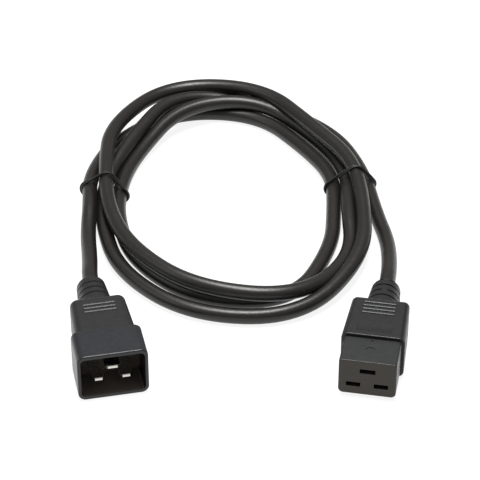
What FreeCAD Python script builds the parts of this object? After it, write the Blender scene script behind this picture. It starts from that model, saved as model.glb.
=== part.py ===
import FreeCAD, Part
import math
import os

os.makedirs("parts", exist_ok=True)
V = FreeCAD.Vector

# ---------------------------------------------------------------- driving dimensions (mm, +Z up)
# C19 connector: mating face to -Y, flat on z = 0, its length centred on y = 0
C19_LEN = 80.0            # mating face to the end of the strain relief
CARRIER_W, CARRIER_H = 31.0, 22.3
CARRIER_SHOW = 20.5       # carrier standing out of the overmould
CARRIER_LEN = 30.0        # whole carrier
RING_FRONT, RING_BACK, RING_DEPTH = 24.0, 27.0, 0.8      # groove that keys the carrier into the overmould
CAP_W, CAP_H, CAP_LEN = 27.0, 18.3, 7.0                  # insert that closes the contact pockets from behind
BODY19_W, BODY19_H = 34.6, 26.2
BODY19_R, BACK19_ROUND = 3.6, 3.0        # corners of its section, rounding of its back edge
PANEL_FIRST, PANEL_W, PANEL_LEN, PANEL_DEPTH = 24.0, 19.0, 10.0, 0.3     # bare recess on the C19 body
MARK_DEPTH = 0.4          # arrow cut into the carrier
BODY_BACK = 56.0          # face to the back of either moulded body
BODY_TAPER = 1.5          # the body narrows by this much each side towards the cord
# C20 plug, built the same way and then set down beside it
SHROUD_W, SHROUD_H = 38.2, 29.0
SHROUD_SHOW = 23.0        # shroud standing out of the overmould
SHROUD_DEPTH = 19.0       # depth of the cavity round the blades
WALL_SIDE, WALL_TOP = 1.8, 2.2
TONGUE_W, TONGUE_H, TONGUE_END = 28.0, 19.0, 30.0        # back of the shroud, held in the overmould
BODY20_W, BODY20_H = 33.4, 25.8
BODY20_R, BACK20_ROUND = 4.6, 4.0        # corners of its section, rounding of its back edge
C20_POS, C20_YAW = (-132.4, -63.5), 22.7
# finger bars across the top of both moulded bodies
BAR_FIRST, BAR_PITCH = 41.0, 3.15
BAR_W, BAR_T, BAR_PROUD = 17.6, 1.2, 0.55
# blades, slots and spring contacts
PITCH = 14.9              # line to neutral
PIN_DZ = 4.6              # earth above, line and neutral below the axis
BLADE_T = 2.0
BLADE_END = 27.0          # flat part of a blade ends this far behind the rim, then its crimp barrel starts
BLADE_W = {"line": 7.3, "neutral": 7.3, "earth": 8.0}
TIP_W = {"line": 4.0, "neutral": 4.0, "earth": 5.2}
TIP_BACK = {"line": 3.8, "neutral": 3.8, "earth": 1.2}   # tip behind the rim
SLOT_PLAY = 0.2           # slot wider than the blade by this each side
SLOT_H = 2.8
CONTACT_H = 5.6           # height of a spring contact and of its pocket
SHEET = 0.7               # contact sheet
BARREL_OD, BARREL_LEN = 4.4, 8.0
CRIMP = 6.0               # length of bare wire inside a barrel
# cord
CORD_OD = 9.0
CORE_OD, WIRE_OD = 3.4, 1.9
JACKET_END = 52.0         # the jacket stops this far behind the face
RELIEF_R0, RELIEF_R1 = 9.8, 8.2
RIB_FIRST, RIB_PITCH, RIB_GAP, RIB_DEPTH = 6.4, 5.3, 1.1, 1.8
WEB_W = 3.4               # webs left across each groove
# coil: turns laid round this centre and tied twice; its inner and outer edges are tilted ovals
COIL_C = (-105.0, 125.0)
OVAL_TILT = 108.0         # direction of the long way across
INNER_OVAL = (97.0, 61.0)
OUTER_OVAL = (122.0, 90.0)
INNER_SHIFT = (-2.0, -3.0)
BUNDLE_H = 20.5
BUNDLE_R_LOW, BUNDLE_R_TOP = 4.0, 6.0
COIL_START, COIL_ROWS = 19.5, 51     # angle of the first row, rows drawn round the coil
TIES = {"right": 0, "left": 24}      # the rows that are tied
LIFT_ROWS = 3             # the bundle comes down from a tie to the floor in this many rows
TIE_T, TIE_W, TIE_GROOVE = 1.4, 3.0, 0.5

AXIS19 = BODY19_H / 2.0
AXIS20 = SHROUD_H / 2.0
FACE_Y = -C19_LEN / 2.0
PINS = {"line": (-PITCH / 2.0, -PIN_DZ), "neutral": (PITCH / 2.0, -PIN_DZ), "earth": (0.0, PIN_DZ)}


# ---------------------------------------------------------------- helpers
# A plug is drawn with its axis on the Y axis and its mating face at y = 0; d is the distance behind the face.
def section(w, h, d, r_low, r_top=None, z=0.0):
    """closed wire: rounded rectangle across the axis, d behind the face"""
    r_top = r_low if r_top is None else r_top
    corners = [(w / 2, -h / 2, r_low, 1, -1), (w / 2, h / 2, r_top, 1, 1),
               (-w / 2, h / 2, r_top, -1, 1), (-w / 2, -h / 2, r_low, -1, -1)]
    arcs = []
    for i, (x, y, r, sx, sy) in enumerate(corners):
        cx, cy = x - sx * r, y - sy * r
        k = r * math.sqrt(0.5)
        ends = [(cx, y), (x, cy)] if i % 2 == 0 else [(x, cy), (cx, y)]
        arcs.append((ends[0], (cx + sx * k, cy + sy * k), ends[1]))
    edges = []
    for i, (a, m, b) in enumerate(arcs):
        pa, pm, pb = [V(p[0], d, p[1] + z) for p in (a, m, b)]
        edges.append(Part.Arc(pa, pm, pb).toShape())
        nxt = arcs[(i + 1) % 4][0]
        edges.append(Part.makeLine(pb, V(nxt[0], d, nxt[1] + z)))
    return Part.Wire(edges)


def prism(w, h, d0, d1, r_low=0.0, r_top=None, x=0.0, z=0.0):
    """straight block across the axis from d0 to d1"""
    if r_low <= 0.0:
        return Part.makeBox(w, d1 - d0, h, V(x - w / 2, d0, z - h / 2))
    block = Part.Face(section(w, h, d0, r_low, r_top)).extrude(V(0, d1 - d0, 0))
    block.translate(V(x, 0, z))
    return block


def rod(dia, d0, d1, x=0.0, z=0.0):
    return Part.makeCylinder(dia / 2.0, d1 - d0, V(x, d0, z), V(0, 1, 0))


def edges_at(shape, d, tol=0.01):
    """edges lying wholly in the plane d behind the face"""
    return [e for e in shape.Edges if abs(e.BoundBox.YMin - d) < tol and abs(e.BoundBox.YMax - d) < tol]


def moulded_body(w, h, d0, d1, r, back_round):
    """tapered grip of a plug, its back edge well rounded"""
    back = section(w - 2 * BODY_TAPER, h - BODY_TAPER, d1, r - 0.4)
    body = Part.makeLoft([section(w, h, d0, r), back], True, True)
    body = body.makeFillet(back_round, edges_at(body, d1))
    return body.makeFillet(0.6, edges_at(body, d0))


def grip_bars(h_front, d0, d1, count):
    """raised finger bars across the top of the grip, following its slope"""
    slope = (BODY_TAPER / 2.0) / (d1 - d0)
    bars = []
    for i in range(count):
        d = BAR_FIRST + BAR_PITCH * i
        top = h_front / 2.0 - slope * (d - d0)
        bar = prism(BAR_W, 2.0, d - BAR_T / 2, d + BAR_T / 2, z=top - 1.0 + BAR_PROUD)
        bars.append(bar.makeFillet(0.4, [e for e in bar.Edges if abs(e.CenterOfMass.z - bar.BoundBox.ZMax) < 0.01]))
    return bars


def strain_relief(d0, d1, rings):
    """flexible tapered neck; rings lists each groove as 'full' or 'side', from the body outwards"""
    profile = [V(0, d0, 0), V(RELIEF_R0 + 0.6, d0, 0), V(RELIEF_R0, d0 + 4, 0), V(RELIEF_R1, d1 - 1.6, 0)]
    end = Part.Arc(V(RELIEF_R1, d1 - 1.6, 0), V(RELIEF_R1 - 0.47, d1 - 0.47, 0), V(RELIEF_R1 - 1.6, d1, 0))
    edges = [Part.makeLine(profile[i], profile[i + 1]) for i in range(3)] + [end.toShape()]
    edges += [Part.makeLine(V(RELIEF_R1 - 1.6, d1, 0), V(0, d1, 0)), Part.makeLine(V(0, d1, 0), profile[0])]
    neck = Part.Face(Part.Wire(edges)).revolve(V(0, 0, 0), V(0, 1, 0), 360)
    wide = 4.0 * RELIEF_R0
    for i, kind in enumerate(rings):
        d = BODY_BACK + RIB_FIRST + RIB_PITCH * i
        outer = rod(wide, d, d + RIB_GAP)
        ring = outer.cut(rod(2 * (RELIEF_R0 - RIB_DEPTH - 0.08 * (d - BODY_BACK)), d - 1, d + 2))
        # webs left standing between the two halves of each groove
        web = prism(WEB_W, wide, d - 1, d + 2) if kind == "side" else prism(wide, WEB_W, d - 1, d + 2)
        neck = neck.cut(ring.cut(web))
    return neck


def core_path(x, z, d0, d1, angle):
    """centre line of one core: an S-bend of two equal arcs from its crimp to its place in the jacket"""
    r = CORE_OD / math.sqrt(3.0)
    shift = V(r * math.cos(angle) - x, 0, r * math.sin(angle) - z)
    start, along = V(x, d0, z), V(0, d1 - d0, 0)
    bend = (along.Length ** 2 + shift.Length ** 2) / (4.0 * shift.Length)
    half = math.asin(along.Length / 2.0 / bend) / 2.0
    sag = V(0, bend * math.sin(half), 0) + V(shift).normalize() * (bend * (1.0 - math.cos(half)))
    middle, end = start + along * 0.5 + shift * 0.5, start + along + shift
    return Part.Wire([Part.Arc(start, start + sag, middle).toShape(), Part.Arc(middle, end - sag, end).toShape()])


def core(x, z, d0, d1, angle, dia):
    path = core_path(x, z, d0, d1, angle)
    ring = Part.Wire([Part.makeCircle(dia / 2.0, V(x, d0, z), V(0, 1, 0))])
    return path.makePipeShell([ring], True, True)


def cores(d0, d1):
    """{name: (insulation, conductor)} of the three cores between crimps and jacket"""
    place = {"line": math.radians(210), "neutral": math.radians(330), "earth": math.radians(90)}
    out = {}
    for name, (x, z) in PINS.items():
        wire = core(x, z, d0, d1, place[name], WIRE_OD).fuse(rod(WIRE_OD, d0 - CRIMP, d0, x, z)).removeSplitter()
        cover = core(x, z, d0, d1, place[name], CORE_OD).cut(wire)
        out[name] = (cover, wire)
    return out


def spring_contact(w, x, z, d_web, d_barrel):
    """folded spring: two bowed leaves joined by a web, a crimp barrel behind it"""
    h, t = CONTACT_H / 2.0, SHEET
    leaf = [(4.4, h - 0.9), (8.6, 1.55), (14.0, h), (d_web + t, h), (d_web + t, 0), (d_web, 0), (d_web, h - t),
            (14.2, h - t), (8.7, 1.55 - t), (4.4, h - 0.9 - t)]
    face = Part.Face(Part.makePolygon([V(0, d, k) for d, k in leaf + leaf[:1]]))
    upper = face.extrude(V(w, 0, 0))
    upper.translate(V(-w / 2.0, 0, 0))
    lower = upper.mirror(V(0, 0, 0), V(0, 0, 1))
    body = upper.fuse(lower).fuse(rod(BARREL_OD, d_web + t, d_barrel)).removeSplitter()
    body.translate(V(x, 0, z))
    return body


def blade(name, x, z, d_barrel):
    """flat pin with a pointed tip, ending in a crimp barrel"""
    w, tip, d0, t = BLADE_W[name], TIP_W[name], TIP_BACK[name], BLADE_T
    nose = (w - tip) / 2.0 * 1.25
    outline = [V(-tip / 2, d0, 0), V(tip / 2, d0, 0), V(w / 2, d0 + nose, 0), V(w / 2, BLADE_END, 0),
               V(-w / 2, BLADE_END, 0), V(-w / 2, d0 + nose, 0)]
    pin = Part.Face(Part.makePolygon(outline + outline[:1])).extrude(V(0, 0, t))
    pin.translate(V(0, 0, -t / 2))
    front = [e for e in edges_at(pin, d0) if e.Length > tip - 0.1]
    pin = pin.makeChamfer(0.35, front)
    body = pin.fuse(rod(BARREL_OD, BLADE_END, d_barrel)).removeSplitter()
    body.translate(V(x, 0, z))
    return body


def route(points):
    """straight runs joined by tangent arcs; returns the wire and the bend radii"""
    edges, radii, last = [], [], points[0]
    for i in range(1, len(points) - 1):
        a, b, c = points[i - 1], points[i], points[i + 1]
        u, w = (b - a).normalize(), (c - b).normalize()
        turn = u.getAngle(w)
        leg = 0.45 * min((b - a).Length, (c - b).Length)
        radius = leg / math.tan(turn / 2.0)
        start, stop = b - u * leg, b + w * leg
        side = (w - u).normalize()
        mid = b + side * (radius / math.cos(turn / 2.0) - radius)
        edges += [Part.makeLine(last, start), Part.Arc(start, mid, stop).toShape()]
        radii.append(radius)
        last = stop
    edges.append(Part.makeLine(last, points[-1]))
    return Part.Wire(edges), radii


def tube(points, dia):
    path, radii = route(points)
    ring = Part.Wire([Part.makeCircle(dia / 2.0, points[0], points[1] - points[0])])
    solid = path.makePipeShell([ring], True, True)
    print("lead: length %.1f, bend radii %s, volume / (section x length) %.4f" % (
        path.Length, [round(r, 1) for r in radii], solid.Volume / (math.pi * dia ** 2 / 4 * path.Length)))
    return solid


def station(angle, r_in, r_out, low, high, grow=0.0):
    """cross-section of the bundle at one angle round the coil"""
    r0, r1, z0, z1 = r_in - grow, r_out + grow, low, high + grow
    wire = section(r1 - r0, z1 - z0, 0.0, BUNDLE_R_LOW, BUNDLE_R_TOP)
    wire.translate(V((r0 + r1) / 2.0, 0, (z0 + z1) / 2.0))
    wire.rotate(V(0, 0, 0), V(0, 0, 1), angle)
    wire.translate(V(COIL_C[0], COIL_C[1], 0))
    return wire


def oval_radius(angle, oval, shift):
    """from the coil's centre to a tilted oval, whose own centre is shifted a little"""
    across, t = oval, math.radians(angle - OVAL_TILT)
    away = across[0] * across[1] / math.hypot(across[1] * math.cos(t), across[0] * math.sin(t))
    turn = math.radians(angle)
    return away + shift[0] * math.cos(turn) + shift[1] * math.sin(turn)


def row_angle(row):
    return COIL_START + 360.0 * row / COIL_ROWS


def row_edges(row):
    """inner and outer radius of the bundle"""
    angle = row_angle(row)
    return oval_radius(angle, INNER_OVAL, INNER_SHIFT), oval_radius(angle, OUTER_OVAL, (0, 0))


def lift(row):
    """height of the bundle's underside, lifted by the ties that pass under it"""
    away = min(min(abs(row - tied), COIL_ROWS - abs(row - tied)) for tied in TIES.values())
    return TIE_T * max(0.0, 1.0 - away / LIFT_ROWS)


def bundle():
    """the tied turns as one closed ring"""
    rows = [station(row_angle(row), *row_edges(row), lift(row), BUNDLE_H) for row in range(COIL_ROWS)]
    half = COIL_ROWS // 2
    first = Part.makeLoft(rows[:half + 1], True, True)
    second = Part.makeLoft(rows[half:] + rows[:1], True, True)
    return first.fuse(second)


def tie(row, ring):
    """two turns of a thin tie drawn tight round the bundle, a shallow groove between them"""
    r_in, r_out = row_edges(row)
    angle = row_angle(row)
    along = V(-math.sin(math.radians(angle)), math.cos(math.radians(angle)), 0)

    def belt(inner, outer, width):
        band = Part.Face(station(angle, r_in, r_out, -inner, BUNDLE_H, outer)).extrude(along * width)
        band.translate(along * (-width / 2.0))
        return band

    groove = belt(TIE_T, 2.0 * TIE_T, TIE_GROOVE).cut(belt(-TIE_GROOVE, TIE_T - TIE_GROOVE, TIE_GROOVE))
    return belt(0.0, TIE_T, TIE_W).cut(groove).cut(ring)


def save(name, shape):
    if shape.ShapeType == "Compound" and len(shape.Solids) == 1:
        shape = shape.Solids[0]
    assert shape.isValid() and len(shape.Solids) == 1, (name, shape.isValid(), len(shape.Solids))
    shape.exportStep("parts/%s.step" % name)
    box = shape.optimalBoundingBox(False)
    print("%-22s volume %9.1f  box %s" % (name, shape.Volume, [round(v, 2) for v in (
        box.XMin, box.YMin, box.ZMin, box.XMax, box.YMax, box.ZMax)]))


def place19(shape):
    shape = shape.copy()
    shape.translate(V(0, FACE_Y, AXIS19))
    return shape


def place20(shape):
    shape = shape.copy()
    shape.rotate(V(0, 0, 0), V(0, 0, 1), C20_YAW)
    shape.translate(V(C20_POS[0], C20_POS[1], AXIS20))
    return shape


# ---------------------------------------------------------------- cord leads and coil
back20 = V(-math.sin(math.radians(C20_YAW)), math.cos(math.radians(C20_YAW)), 0)
origin20 = V(C20_POS[0], C20_POS[1], AXIS20)
lead19_points = [V(0, FACE_Y + JACKET_END, AXIS19), V(0, 45, AXIS19), V(-2.0, 74, 8.0), V(-7.0, 100, 4.5),
                 V(-14.0, 123, 4.5)]
lead20_points = [origin20 + back20 * JACKET_END, origin20 + back20 * 85.0, V(-173.0, 43, 9.0), V(-181.0, 70, 4.5),
                 V(-186.0, 94, 4.5)]
coil = bundle()
lead19_whole = tube(lead19_points, CORD_OD)
lead20_whole = tube(lead20_points, CORD_OD)


def outside_coil(lead, start):
    """the piece of the lead between its plug and the bundle"""
    rest = lead.cut(coil)
    return min(rest.Solids, key=lambda s: s.distToShape(Part.Vertex(start))[0])


lead19 = outside_coil(lead19_whole, lead19_points[0])
lead20 = outside_coil(lead20_whole, lead20_points[0])
save("cord_coil", coil)
save("cord_lead_c19", lead19)
save("cord_lead_c20", lead20)
for side, row in TIES.items():
    save("tie_" + side, tie(row, coil))

# ---------------------------------------------------------------- C19 connector
CAP_D = CARRIER_LEN - CAP_LEN     # front of the cap
WEB_D = CAP_D - SHEET             # web of the spring contacts, standing on the cap
BARREL19 = CARRIER_LEN + 4.0
carrier = prism(CARRIER_W, CARRIER_H, 0.0, CARRIER_LEN, 2.8, 1.3)
carrier = carrier.makeFillet(0.5, edges_at(carrier, 0.0))
grip_ring = prism(CARRIER_W + 4, CARRIER_H + 4, RING_FRONT, RING_BACK).cut(
    prism(CARRIER_W - 2 * RING_DEPTH, CARRIER_H - 2 * RING_DEPTH, RING_FRONT - 1, RING_BACK + 1, 2.0))
carrier = carrier.cut(grip_ring)
cap = prism(CAP_W, CAP_H, CAP_D, CARRIER_LEN, 1.5)
carrier = carrier.cut(cap)
contacts = {}
for name, (x, z) in PINS.items():
    slot_w = BLADE_W[name] + 2 * SLOT_PLAY
    slot = prism(slot_w, SLOT_H, -1.0, 4.0, 0.3, x=x, z=z)
    carrier = carrier.cut(slot)
    pocket_w = BLADE_W[name] + 1.6
    carrier = carrier.cut(prism(pocket_w, CONTACT_H, 2.8, CAP_D, x=x, z=z))
    contacts[name] = spring_contact(pocket_w - 0.4, x, z, WEB_D, BARREL19)
    cap = cap.cut(rod(BARREL_OD, CAP_D - 1, CARRIER_LEN + 1, x, z))
top = CARRIER_H / 2.0
carrier = carrier.cut(Part.makeCylinder(2.7, 1.0, V(0, 10.4, top - 0.35)))           # ejector mark
arrow = Part.Face(Part.makePolygon([V(x, d, top - MARK_DEPTH) for x, d in (
    (-0.9, 17.6), (-0.9, 19.4), (0.9, 18.5), (-0.9, 17.6))]))
carrier = carrier.cut(arrow.extrude(V(0, 0, 1)))                                      # arrow mark

cores19 = cores(BARREL19, JACKET_END)
body19 = moulded_body(BODY19_W, BODY19_H, CARRIER_SHOW, BODY_BACK, BODY19_R, BACK19_ROUND)
body19 = body19.fuse(strain_relief(BODY_BACK - 1.0, C19_LEN, ["full", "side", "full", "side"]))
for bar in grip_bars(BODY19_H, CARRIER_SHOW, BODY_BACK, 4):
    body19 = body19.fuse(bar)
panel = prism(PANEL_W, 2.0, PANEL_FIRST, PANEL_FIRST + PANEL_LEN, 0.5, z=BODY19_H / 2.0 - PANEL_DEPTH + 1.0)
body19 = body19.cut(panel)
solid_carrier = prism(CARRIER_W, CARRIER_H, 0.0, CARRIER_LEN, 2.8, 1.3).cut(grip_ring)
body19 = body19.cut(solid_carrier)
for name, (x, z) in PINS.items():
    body19 = body19.cut(rod(BARREL_OD, CARRIER_LEN - 1, BARREL19, x, z))
    body19 = body19.cut(cores19[name][0]).cut(cores19[name][1])
    contacts[name] = contacts[name].cut(cores19[name][1])
body19 = place19(body19).cut(lead19_whole)
save("c19_overmould", body19)
save("c19_carrier", place19(carrier.removeSplitter()))
save("c19_cap", place19(cap))
for name in PINS:
    save("c19_contact_" + name, place19(contacts[name]))
    save("c19_core_" + name, place19(cores19[name][0]))
    save("c19_wire_" + name, place19(cores19[name][1]))

# ---------------------------------------------------------------- C20 plug
BARREL20 = BLADE_END + BARREL_LEN
shroud = prism(SHROUD_W, SHROUD_H, 0.0, SHROUD_SHOW, 4.2)
shroud = shroud.makeFillet(0.8, edges_at(shroud, 0.0) + edges_at(shroud, SHROUD_SHOW))
shroud = shroud.fuse(prism(TONGUE_W, TONGUE_H, SHROUD_SHOW - 1, TONGUE_END, 2.0))
cavity = prism(SHROUD_W - 2 * WALL_SIDE, SHROUD_H - 2 * WALL_TOP, -1.0, SHROUD_DEPTH, 2.6)
shroud = shroud.cut(cavity)
blades = {}
cores20 = cores(BARREL20, JACKET_END)
for name, (x, z) in PINS.items():
    blades[name] = blade(name, x, z, BARREL20)
    shroud = shroud.cut(blades[name])
    blades[name] = blades[name].cut(cores20[name][1])
body20 = moulded_body(BODY20_W, BODY20_H, SHROUD_SHOW, BODY_BACK, BODY20_R, BACK20_ROUND)
body20 = body20.fuse(strain_relief(BODY_BACK - 1.0, C19_LEN, ["full", "full", "full"]))
for bar in grip_bars(BODY20_H, SHROUD_SHOW, BODY_BACK, 3):
    body20 = body20.fuse(bar)
body20 = body20.cut(prism(TONGUE_W, TONGUE_H, SHROUD_SHOW - 1, TONGUE_END, 2.0))
for name, (x, z) in PINS.items():
    body20 = body20.cut(rod(BARREL_OD, TONGUE_END - 1, BARREL20, x, z))
    body20 = body20.cut(cores20[name][0]).cut(cores20[name][1])
body20 = place20(body20).cut(lead20_whole)
save("c20_overmould", body20)
save("c20_shroud", place20(shroud.removeSplitter()))
for name in PINS:
    save("c20_blade_" + name, place20(blades[name]))
    save("c20_core_" + name, place20(cores20[name][0]))
    save("c20_wire_" + name, place20(cores20[name][1]))
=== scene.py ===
"""A black power cord: C19 connector, tied coil of round cable, C20 plug. Metres, in the frame of the CAD."""
import math

import bmesh
import bpy
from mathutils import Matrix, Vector


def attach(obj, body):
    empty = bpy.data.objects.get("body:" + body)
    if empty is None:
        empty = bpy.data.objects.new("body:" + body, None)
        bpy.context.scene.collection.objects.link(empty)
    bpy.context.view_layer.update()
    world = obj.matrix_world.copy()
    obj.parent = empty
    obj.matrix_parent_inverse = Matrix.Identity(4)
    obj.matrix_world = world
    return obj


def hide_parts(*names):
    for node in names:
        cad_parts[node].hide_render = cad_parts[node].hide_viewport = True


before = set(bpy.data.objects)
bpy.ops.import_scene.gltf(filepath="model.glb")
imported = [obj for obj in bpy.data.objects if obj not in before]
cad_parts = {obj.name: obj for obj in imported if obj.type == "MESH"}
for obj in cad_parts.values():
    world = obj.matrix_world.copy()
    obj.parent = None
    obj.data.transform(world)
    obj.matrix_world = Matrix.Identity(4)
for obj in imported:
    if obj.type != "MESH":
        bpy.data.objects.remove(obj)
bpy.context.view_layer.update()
scene = bpy.context.scene

MM = 0.001
CORD_OD = 9.0 * MM
CORE_SHOWS, CORE_TWIST = 0.05 * MM, 110.0 * MM     # ripple of the jacket over its cores, length of a twist
TIE_OD = 1.3 * MM
TIE_SPREAD = 0.60 * MM     # how far a strand of a tie stands from the middle of the two
TIE_STEPS = 160            # points along one turn of a tie
TIE_ANGLES = {"right": 19.5, "left": 188.9}

# ---------------------------------------------------------------- the route of the cord
# C20 plug: its mating face stands at C20_FACE and its cord leaves along C20_BACK
C20_YAW = math.radians(22.7)
C20_FACE = Vector((-0.1324, -0.0635, 0.0145))
C20_BACK = Vector((-math.sin(C20_YAW), math.cos(C20_YAW), 0.0))
LEAD_C20 = [C20_FACE + C20_BACK * 0.052, C20_FACE + C20_BACK * 0.085, Vector((-0.172, 0.043, 0.009)),
            Vector((-0.1802, 0.070, 0.007)), Vector((-0.1850, 0.096, 0.0115))]
LEAD_C19 = [Vector((-0.016, 0.123, 0.0046)), Vector((-0.0068, 0.100, 0.0046)), Vector((-0.002, 0.074, 0.008)),
            Vector((0.0, 0.045, 0.0131)), Vector((0.0, 0.012, 0.0131))]

# The turns follow a tilted oval, clockwise from above, from the C20 side. LANES says how far each turn lies
# outside the oval, in lanes, at the places round it; a loose turn takes a little more room than its diameter.
LANE = 9.5 * MM
COIL_CENTRE = Vector((-0.105, 0.125, 0.0))
OVAL_LONG, OVAL_SHORT, OVAL_TILT = 0.109, 0.075, math.radians(108)
FIRST_PLACE = math.radians(180)
PLACES = 12
LANES = [
    (0.85, 0.55, -0.5, -1.05, -1.7, -1.25, -1.7, -1.45, -0.15, -0.45, -0.3, -0.7),
    (-1.1, -1.55, -1.35, -0.5, -0.4, -0.25, -0.9, 0.2, 0.5, -0.3, -0.2, -0.15),
    (-0.2, 0.8, 1.45, 0.25, -0.9, 0.0, 0.1, 1.0, 1.4, 1.05, 1.0, 0.3),
    (-0.1, -0.9, 0.2, 0.3, 1.0, 0.75),
]
LAID = (0, 1, 3, 2)                            # lowest turn first: the third lies over the fourth
LAID_AT = {0: (3, 0, 1, 2), 11: (2, 0, 1), 3: (0, 3, 1, 2)}    # other orders, where turns cross
# layers by turn and place, where a turn that crosses another on its way hangs higher
HUNG = {(1, 2): 1.0, (1, 3): 0.9, (2, 0): 1.2, (2, 1): 1.2, (2, 2): 0.95, (2, 3): 1.4, (2, 4): 1.3,
        (2, 5): 1.1, (2, 6): 0.75, (3, 1): 0.75, (3, 2): 1.05}


def oval(angle):
    """distance from the coil's centre to its middle line"""
    a, b, t = OVAL_LONG, OVAL_SHORT, angle - OVAL_TILT
    return a * b / math.hypot(b * math.cos(t), a * math.sin(t))


def layer(turn, place):
    """how many lanes high a turn lies: as HUNG says, or as low as the turns laid before it allow"""
    if (turn, place) in HUNG:
        return HUNG[turn, place]
    laid = LAID_AT.get(place, LAID)
    near = []
    for under in laid[:laid.index(turn)]:
        apart = abs(LANES[turn][place] - LANES[under][place]) if place < len(LANES[under]) else 1.0
        if apart < 1.0:
            near.append((layer(under, place), math.sqrt(1.0 - apart ** 2)))
    heights = sorted([0.0] + [height + clear for height, clear in near])
    free = [h for h in heights if all(abs(h - height) > clear - 0.01 for height, clear in near)]
    return free[0]


def tie_lift(angle):
    """the bundle lies on the ties that pass under it"""
    for tie in TIE_ANGLES.values():
        if math.cos(angle - math.radians(tie)) > math.cos(math.radians(25)):
            return TIE_OD
    return 0.0


def coil_points():
    """the turns, set outwards so that the smooth line and not its control points runs along the lanes"""
    points = []
    for turn, lanes in enumerate(LANES):
        for place, lane in enumerate(lanes):
            angle = FIRST_PLACE - 2 * math.pi * place / PLACES
            r = (oval(angle) + lane * LANE) / math.cos(math.pi / PLACES)
            z = CORD_OD / 2 + layer(turn, place) * LANE + CORE_SHOWS + tie_lift(angle)
            points.append(COIL_CENTRE + Vector((r * math.cos(angle), r * math.sin(angle), z)))
    return points


def route_curve(name, points):
    """open NURBS line with these control points"""
    curve = bpy.data.curves.new(name, "CURVE")
    curve.dimensions = "3D"
    spline = curve.splines.new("NURBS")
    spline.points.add(len(points) - 1)
    for point, place in zip(spline.points, points):
        point.co = (*place, 1.0)
    spline.order_u = 3
    spline.use_endpoint_u = True
    curve.resolution_u = 14
    obj = bpy.data.objects.new(name, curve)
    scene.collection.objects.link(obj)
    return obj


def route_points(curve):
    """points along the smooth line itself"""
    line = curve.copy()
    line.data = curve.data.copy()
    line.data.bevel_depth = 0.0
    scene.collection.objects.link(line)
    bpy.context.view_layer.update()
    mesh = bpy.data.meshes.new_from_object(line.evaluated_get(bpy.context.evaluated_depsgraph_get()))
    points = [v.co.copy() for v in mesh.vertices]
    bpy.data.objects.remove(line)
    bpy.data.meshes.remove(mesh)
    return points


def sweep(name, centres, sides, radius, hold=None):
    """tube along these points, its UVs in metres along and round it; radius is a function of length and angle.
    With hold, a direction that the rings keep, the tube is a closed loop; without, it is open and capped."""
    mesh, rings, run = bmesh.new(), [], 0.0
    uv = mesh.loops.layers.uv.new("UVMap")
    count, closed = len(centres), hold is not None
    first = Vector((0.0, 0.0, 1.0))
    for i, centre in enumerate(centres):
        before = centres[i - 1] if closed or i > 0 else centre
        after = centres[(i + 1) % count] if closed or i < count - 1 else centre
        ahead = (after - before).normalized()
        first = hold.cross(ahead).normalized() if closed else (first - ahead * first.dot(ahead)).normalized()
        second = ahead.cross(first)
        run += (centre - centres[i - 1]).length if i > 0 else 0.0
        ring = []
        for k in range(sides):
            t = 2 * math.pi * k / sides
            out = first * math.cos(t) + second * math.sin(t)
            ring.append(mesh.verts.new(centre + out * radius(run, t)))
        rings.append((ring, run))
    girth = 2 * math.pi * radius(0.0, 0.0)
    for i in range(count if closed else count - 1):
        (here, u), (there, w) = rings[i], rings[(i + 1) % count]
        w = w if w > u else run + (centres[0] - centres[-1]).length
        for k in range(sides):
            n = (k + 1) % sides
            face = mesh.faces.new((here[k], here[n], there[n], there[k]))
            face.smooth = True
            corners = ((u, k), (u, k + 1), (w, k + 1), (w, k))
            for loop, (along, round_) in zip(face.loops, corners):
                loop[uv].uv = (along, girth * round_ / sides)
    if not closed:
        mesh.faces.new(list(reversed(rings[0][0])))
        mesh.faces.new(rings[-1][0])
    bmesh.ops.recalc_face_normals(mesh, faces=mesh.faces)
    data = bpy.data.meshes.new(name)
    mesh.to_mesh(data)
    mesh.free()
    obj = bpy.data.objects.new(name, data)
    scene.collection.objects.link(obj)
    return obj


# ---------------------------------------------------------------- materials
def ramp(tree, value, low, high):
    """a 0 to 1 value spread between two others"""
    node = tree.nodes.new("ShaderNodeMapRange")
    node.inputs["To Min"].default_value = low
    node.inputs["To Max"].default_value = high
    tree.links.new(value, node.inputs["Value"])
    return node.outputs["Result"]


def noise(tree, coords, scale, detail=3.0):
    node = tree.nodes.new("ShaderNodeTexNoise")
    node.inputs["Scale"].default_value = scale
    node.inputs["Detail"].default_value = detail
    tree.links.new(coords, node.inputs["Vector"])
    return node.outputs["Fac"]


def stretched(tree, coords, scale):
    node = tree.nodes.new("ShaderNodeMapping")
    node.inputs["Scale"].default_value = scale
    tree.links.new(coords, node.inputs["Vector"])
    return node.outputs["Vector"]


def bumped(tree, height, depth, below=None):
    node = tree.nodes.new("ShaderNodeBump")
    node.inputs["Distance"].default_value = depth
    node.inputs["Strength"].default_value = 1.0
    tree.links.new(height, node.inputs["Height"])
    if below is not None:
        tree.links.new(below, node.inputs["Normal"])
    return node.outputs["Normal"]


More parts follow.
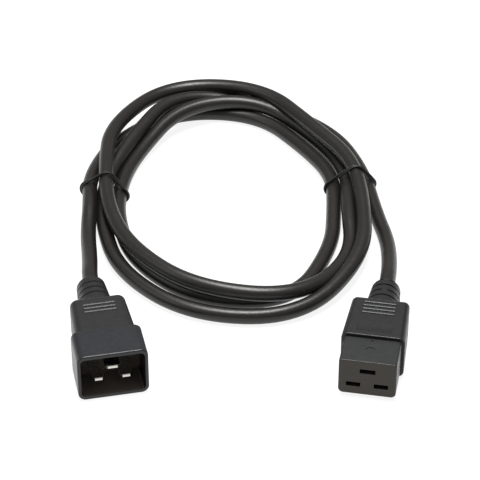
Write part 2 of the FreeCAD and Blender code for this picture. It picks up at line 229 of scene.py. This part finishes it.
def finish(name, colour, roughness, metallic=0.0, specular=0.5, mottle=0.1, grain=0.4 * MM, depth=0.01 * MM,
           streaks=(1.0, 1.0, 1.0)):
    """moulded or metal surface: mottled colour, uneven roughness, fine grain and faint handling marks"""
    mat = bpy.data.materials.new(name)
    mat.use_nodes = True
    tree = mat.node_tree
    bsdf = tree.nodes["Principled BSDF"]
    bsdf.inputs["Metallic"].default_value = metallic
    bsdf.inputs["Specular IOR Level"].default_value = specular
    coords = tree.nodes.new("ShaderNodeTexCoord").outputs["Object"]
    cloudy = noise(tree, coords, 90.0, 4.0)
    shade = ramp(tree, cloudy, 1.0 - mottle, 1.0 + mottle)
    tint = tree.nodes.new("ShaderNodeVectorMath")
    tint.operation = "SCALE"
    tint.inputs[0].default_value = colour
    tree.links.new(shade, tint.inputs["Scale"])
    tree.links.new(tint.outputs["Vector"], bsdf.inputs["Base Color"])
    rubbed = noise(tree, stretched(tree, coords, streaks), 350.0, 5.0)
    tree.links.new(ramp(tree, rubbed, roughness - 0.09, roughness + 0.09), bsdf.inputs["Roughness"])
    fine = bumped(tree, noise(tree, coords, 1.0 / grain, 2.0), depth)
    tree.links.new(bumped(tree, rubbed, depth * 1.5, fine), bsdf.inputs["Normal"])
    return mat


def jacket_finish():
    """extruded jacket: fine lines along the cord and soft scuffs; the faint twist of its three cores is in the
    tube's radius, not here
    """
    mat = finish("jacket", (0.009, 0.0079, 0.0066), 0.37, specular=0.5, mottle=0.2, grain=0.5 * MM,
                 depth=0.003 * MM)
    tree = mat.node_tree
    bsdf = tree.nodes["Principled BSDF"]
    uv = tree.nodes.new("ShaderNodeTexCoord").outputs["UV"]
    lines = noise(tree, stretched(tree, uv, (30.0, 1400.0, 1.0)), 1.0, 4.0)
    below = bsdf.inputs["Normal"].links[0].from_socket
    tree.links.new(bumped(tree, lines, 0.008 * MM, below), bsdf.inputs["Normal"])
    return mat


def facing(tree, direction):
    """1 where the surface faces this way, 0 elsewhere"""
    turned = tree.nodes.new("ShaderNodeVectorMath")
    turned.operation = "DOT_PRODUCT"
    turned.inputs[1].default_value = direction
    tree.links.new(tree.nodes.new("ShaderNodeNewGeometry").outputs["Normal"], turned.inputs[0])
    return spread(tree, turned.outputs["Value"], 0.7, 0.8)


def spread(tree, value, start, end):
    """0 at the start value, 1 at the end value and past it"""
    node = tree.nodes.new("ShaderNodeMapRange")
    node.inputs["From Min"].default_value = start
    node.inputs["From Max"].default_value = end
    tree.links.new(value, node.inputs["Value"])
    return node.outputs["Result"]


def beyond(tree, direction, start, end):
    """0 for points that lie up to start metres along this direction, 1 for those past end"""
    along = tree.nodes.new("ShaderNodeVectorMath")
    along.operation = "DOT_PRODUCT"
    along.inputs[1].default_value = direction
    tree.links.new(tree.nodes.new("ShaderNodeTexCoord").outputs["Object"], along.inputs[0])
    return spread(tree, along.outputs["Value"], start, end)


def recoloured(mat, colour, *masks):
    """the same surface in another colour where all the masks are 1"""
    tree = mat.node_tree
    bsdf = tree.nodes["Principled BSDF"]
    mask = masks[0]
    for other in masks[1:]:
        both = tree.nodes.new("ShaderNodeMath")
        both.operation = "MULTIPLY"
        tree.links.new(mask, both.inputs[0])
        tree.links.new(other, both.inputs[1])
        mask = both.outputs[0]
    blend = tree.nodes.new("ShaderNodeMix")
    blend.data_type = "RGBA"
    blend.inputs["B"].default_value = (*colour, 1.0)
    tree.links.new(mask, blend.inputs["Factor"])
    tree.links.new(bsdf.inputs["Base Color"].links[0].from_socket, blend.inputs["A"])
    tree.links.new(blend.outputs["Result"], bsdf.inputs["Base Color"])


def sloping_top(face, back, height, slope):
    """across a grip's sloping top: its upward direction and the level of the top along that direction.
    The top is this high at the mating face and drops by the slope along the plug."""
    up = Vector((back.x * slope, back.y * slope, 1.0))
    return up, height + Vector((face.x, face.y, 0.0)).dot(up)


PLASTIC = {
    "c19_overmould": finish("c19_grip", (0.010, 0.010, 0.010), 0.40, specular=0.44, depth=0.02 * MM),
    "c20_overmould": finish("c20_grip", (0.010, 0.010, 0.0102), 0.40, specular=0.46, depth=0.02 * MM),
    "c19_carrier": finish("carrier", (0.018, 0.0185, 0.019), 0.38, specular=0.42, depth=0.006 * MM),
    "c19_cap": finish("cap", (0.040, 0.038, 0.035), 0.5),
    "c20_shroud": finish("shroud", (0.012, 0.0128, 0.0155), 0.34, specular=0.5, depth=0.006 * MM),
}
# the first colour is a painted highlight on the raised bars of the grips' tops; the second is the darker floor
# of the C19 grip's sunk panel
BAR_PAINTED_HIGHLIGHT, PANEL = (0.085, 0.087, 0.09), (0.003, 0.003, 0.003)
# both colours are painted light: the first on the lit front face of the C19 carrier, the second on the lit base
# wall and floor inside the C20 shroud
FACE_PAINTED_LIGHT, CAVITY_PAINTED_LIGHT = (0.042, 0.034, 0.022), (0.10, 0.085, 0.072)
C19_FACE, C19_BACK = Vector((0.0, -0.040, 0.0131)), Vector((0.0, 1.0, 0.0))
C19_TOP = sloping_top(C19_FACE, C19_BACK, 26.63 * MM, 0.0211)
C20_TOP = sloping_top(C20_FACE, C20_BACK, 27.92 * MM, 0.0227)
# painted highlight: the raised bars on each grip's top are made lighter
for name, (up, level) in (("c19_overmould", C19_TOP), ("c20_overmould", C20_TOP)):
    bars = beyond(PLASTIC[name].node_tree, up, level + 0.20 * MM, level + 0.45 * MM)
    recoloured(PLASTIC[name], BAR_PAINTED_HIGHLIGHT, bars)
grip, (up, level) = PLASTIC["c19_overmould"].node_tree, C19_TOP
not_bars = beyond(grip, up, level - 0.10 * MM, level - 0.20 * MM)
not_sunk = beyond(grip, up, level - 0.60 * MM, level - 0.50 * MM)
recoloured(PLASTIC["c19_overmould"], PANEL, facing(grip, up), not_bars, not_sunk)
# painted light: the carrier's front face is made lighter and warmer than its other faces
recoloured(PLASTIC["c19_carrier"], FACE_PAINTED_LIGHT, facing(PLASTIC["c19_carrier"].node_tree, -C19_BACK))
# painted light on the base wall at the back of the C20's cavity, which faces the front
for name in ("c20_shroud", "c20_overmould"):
    tree, depth = PLASTIC[name].node_tree, C20_FACE.dot(C20_BACK)
    inside = beyond(tree, C20_BACK, depth + 2 * MM, depth + 4 * MM)
    recoloured(PLASTIC[name], CAVITY_PAINTED_LIGHT, facing(tree, -C20_BACK), inside)
# painted light on the floor inside the shroud's cavity
tree, upward = PLASTIC["c20_shroud"].node_tree, Vector((0.0, 0.0, 1.0))
recoloured(PLASTIC["c20_shroud"], CAVITY_PAINTED_LIGHT, facing(tree, upward), beyond(tree, upward, 10 * MM, 8 * MM))
METAL = {
    "blade": finish("nickel", (0.62, 0.60, 0.56), 0.24, metallic=1.0, mottle=0.05, depth=0.003 * MM,
                    streaks=(1.0, 9.0, 1.0)),
    "contact": finish("brass", (0.70, 0.52, 0.24), 0.32, metallic=1.0, mottle=0.08, depth=0.003 * MM),
    "wire": finish("copper", (0.78, 0.42, 0.26), 0.34, metallic=1.0, mottle=0.08, streaks=(14.0, 1.0, 14.0)),
}
CORE = {
    "line": finish("core_line", (0.18, 0.08, 0.04), 0.45),
    "neutral": finish("core_neutral", (0.04, 0.13, 0.42), 0.45),
    "earth": finish("core_earth", (0.17, 0.40, 0.07), 0.45),
}


def node_finish(name):
    """the finish of a CAD node, from its name"""
    if name in PLASTIC:
        return PLASTIC[name]
    for word, mat in METAL.items():
        if "_" + word + "_" in name:
            return mat
    return CORE[name.rsplit("_", 1)[1]]


SOFT = ("cord_coil", "cord_lead_c19", "cord_lead_c20", "tie_left", "tie_right")
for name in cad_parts:
    if name not in SOFT:
        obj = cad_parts[name]
        obj.data.materials.clear()
        obj.data.materials.append(node_finish(name))

# ---------------------------------------------------------------- cord
line = route_curve("route", LEAD_C20 + coil_points() + LEAD_C19)
route = route_points(line)
bpy.data.objects.remove(line)


def jacket_radius(run, t):
    """the three twisted cores show very faintly through the jacket"""
    return CORD_OD / 2 + CORE_SHOWS * math.cos(3 * t + 2 * math.pi * run / CORE_TWIST)


cord = sweep("power_cord", route, 28, jacket_radius)
cord.data.materials.append(jacket_finish())
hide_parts("cord_coil", "cord_lead_c19", "cord_lead_c20")
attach(cord, "root")


# ---------------------------------------------------------------- ties
def crossings(angle):
    """where the cord passes through the upright plane of a tie: (distance from the coil's centre, height)"""
    outward = Vector((math.cos(angle), math.sin(angle), 0.0))
    along = Vector((-outward.y, outward.x, 0.0))
    found = []
    for a, b in zip(route, route[1:]):
        before, after = (a - COIL_CENTRE).dot(along), (b - COIL_CENTRE).dot(along)
        middle = a.lerp(b, before / (before - after)) if before * after < 0.0 else None
        if middle is not None and (middle - COIL_CENTRE).dot(outward) > 0.0:
            found.append(((middle - COIL_CENTRE).dot(outward), middle.z))
    return found


def drawn_tight(angle, steps=720):
    """outline of a thread drawn tight round the strands: evenly spaced (distance, height) points and normals"""
    strands, reach = crossings(angle), CORD_OD / 2 + TIE_OD / 2
    raw = []
    for i in range(steps):
        turn = 2 * math.pi * i / steps
        u = (math.cos(turn), math.sin(turn))
        far = max(strands, key=lambda c: c[0] * u[0] + c[1] * u[1])
        raw.append((Vector((far[0] + reach * u[0], far[1] + reach * u[1])), Vector(u)))
    lengths = [0.0]
    for (a, _), (b, _) in zip(raw, raw[1:] + raw[:1]):
        lengths.append(lengths[-1] + (b - a).length)
    even, k = [], 0
    for i in range(TIE_STEPS):
        want = lengths[-1] * i / TIE_STEPS
        while lengths[k + 1] < want:
            k += 1
        part = (want - lengths[k]) / max(lengths[k + 1] - lengths[k], 1e-9)
        (a, n), (b, m) = raw[k % steps], raw[(k + 1) % steps]
        even.append((a.lerp(b, part), n.lerp(m, part).normalized()))
    return even


def tie_mesh(name, angle, twists, phase):
    """one loop of elastic run twice round the bundle, its two strands crossing each other as they go"""
    outward = Vector((math.cos(angle), math.sin(angle), 0.0))
    along, up = Vector((-outward.y, outward.x, 0.0)), Vector((0.0, 0.0, 1.0))
    outline, centres = drawn_tight(angle), []
    for i in range(2 * TIE_STEPS):
        place, normal = outline[i % TIE_STEPS]
        turn = (twists + 0.5) * 2 * math.pi * i / TIE_STEPS + phase
        side, off = TIE_SPREAD * math.cos(turn), TIE_SPREAD * math.sin(turn)
        spot = COIL_CENTRE + outward * place.x + up * place.y + (outward * normal.x + up * normal.y) * off
        spot.z = max(spot.z, TIE_OD / 2)
        centres.append(spot + along * side)
    return sweep(name, centres, 10, lambda s, t: TIE_OD / 2, along)


elastic = finish("elastic", (0.008, 0.008, 0.008), 0.5, mottle=0.25, grain=0.25 * MM, depth=0.03 * MM)
for side, phase in (("right", 0.6), ("left", 2.2)):
    loop = tie_mesh("elastic_" + side, math.radians(TIE_ANGLES[side]), 1, phase)
    loop.data.materials.append(elastic)
    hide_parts("tie_" + side)
    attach(loop, "root")

# ---------------------------------------------------------------- camera, floor and light
CAM_AT, CAM_TO = Vector((0.08667, -0.86953, 0.69799)), Vector((-0.09289, 0.08993, 0.0))
cam = bpy.data.objects.new("camera", bpy.data.cameras.new("camera"))
scene.collection.objects.link(cam)
cam.location = CAM_AT
cam.rotation_euler = (CAM_TO - CAM_AT).to_track_quat("-Z", "Y").to_euler()
cam.data.sensor_width = 36.0
cam.data.lens = 36.0 * 2028.3 / 480
cam.data.clip_end = 20.0
scene.camera = cam

FLOOR_WHITE = 0.87    # with what the lamps add, the floor is seen as white and keeps a faint shadow
floor = bpy.data.meshes.new("floor")
floor.from_pydata([(-6, -6, 0), (6, -6, 0), (6, 6, 0), (-6, 6, 0)], [], [(0, 1, 2, 3)])
floor = bpy.data.objects.new("floor", floor)
scene.collection.objects.link(floor)
floor.location.z = -0.2 * MM
paper = bpy.data.materials.new("floor")
paper.use_nodes = True
paper_bsdf = paper.node_tree.nodes["Principled BSDF"]
paper_bsdf.inputs["Base Color"].default_value = (0.22, 0.22, 0.22, 1)
paper_bsdf.inputs["Roughness"].default_value = 0.9
paper_bsdf.inputs["Specular IOR Level"].default_value = 0.0
paper_bsdf.inputs["Emission Color"].default_value = (1, 1, 1, 1)
seen = paper.node_tree.nodes.new("ShaderNodeLightPath").outputs
rays = seen["Is Camera Ray"]
for other in ("Is Glossy Ray", "Is Transmission Ray"):
    either = paper.node_tree.nodes.new("ShaderNodeMath")
    either.operation = "MAXIMUM"
    paper.node_tree.links.new(rays, either.inputs[0])
    paper.node_tree.links.new(seen[other], either.inputs[1])
    rays = either.outputs[0]
glow = ramp(paper.node_tree, rays, 0.0, FLOOR_WHITE)
paper.node_tree.links.new(glow, paper_bsdf.inputs["Emission Strength"])
floor.data.materials.append(paper)

world = bpy.data.worlds.new("world")
scene.world = world
world.use_nodes = True
world.node_tree.nodes["Background"].inputs["Color"].default_value = (1, 1, 1, 1)
world.node_tree.nodes["Background"].inputs["Strength"].default_value = 0.35


def softbox(name, place, size, watts):
    """square lamp that faces the middle of the coil"""
    lamp = bpy.data.lights.new(name, "AREA")
    lamp.size = size
    lamp.energy = watts
    obj = bpy.data.objects.new(name, lamp)
    scene.collection.objects.link(obj)
    obj.location = place
    obj.rotation_euler = (COIL_CENTRE - Vector(place)).to_track_quat("-Z", "Y").to_euler()


softbox("lamp_over", (-0.1, 0.15, 1.1), 0.5, 17.0)
softbox("lamp_side", (-1.3, -0.4, 0.9), 0.8, 2.5)
scene.view_settings.view_transform = "Standard"
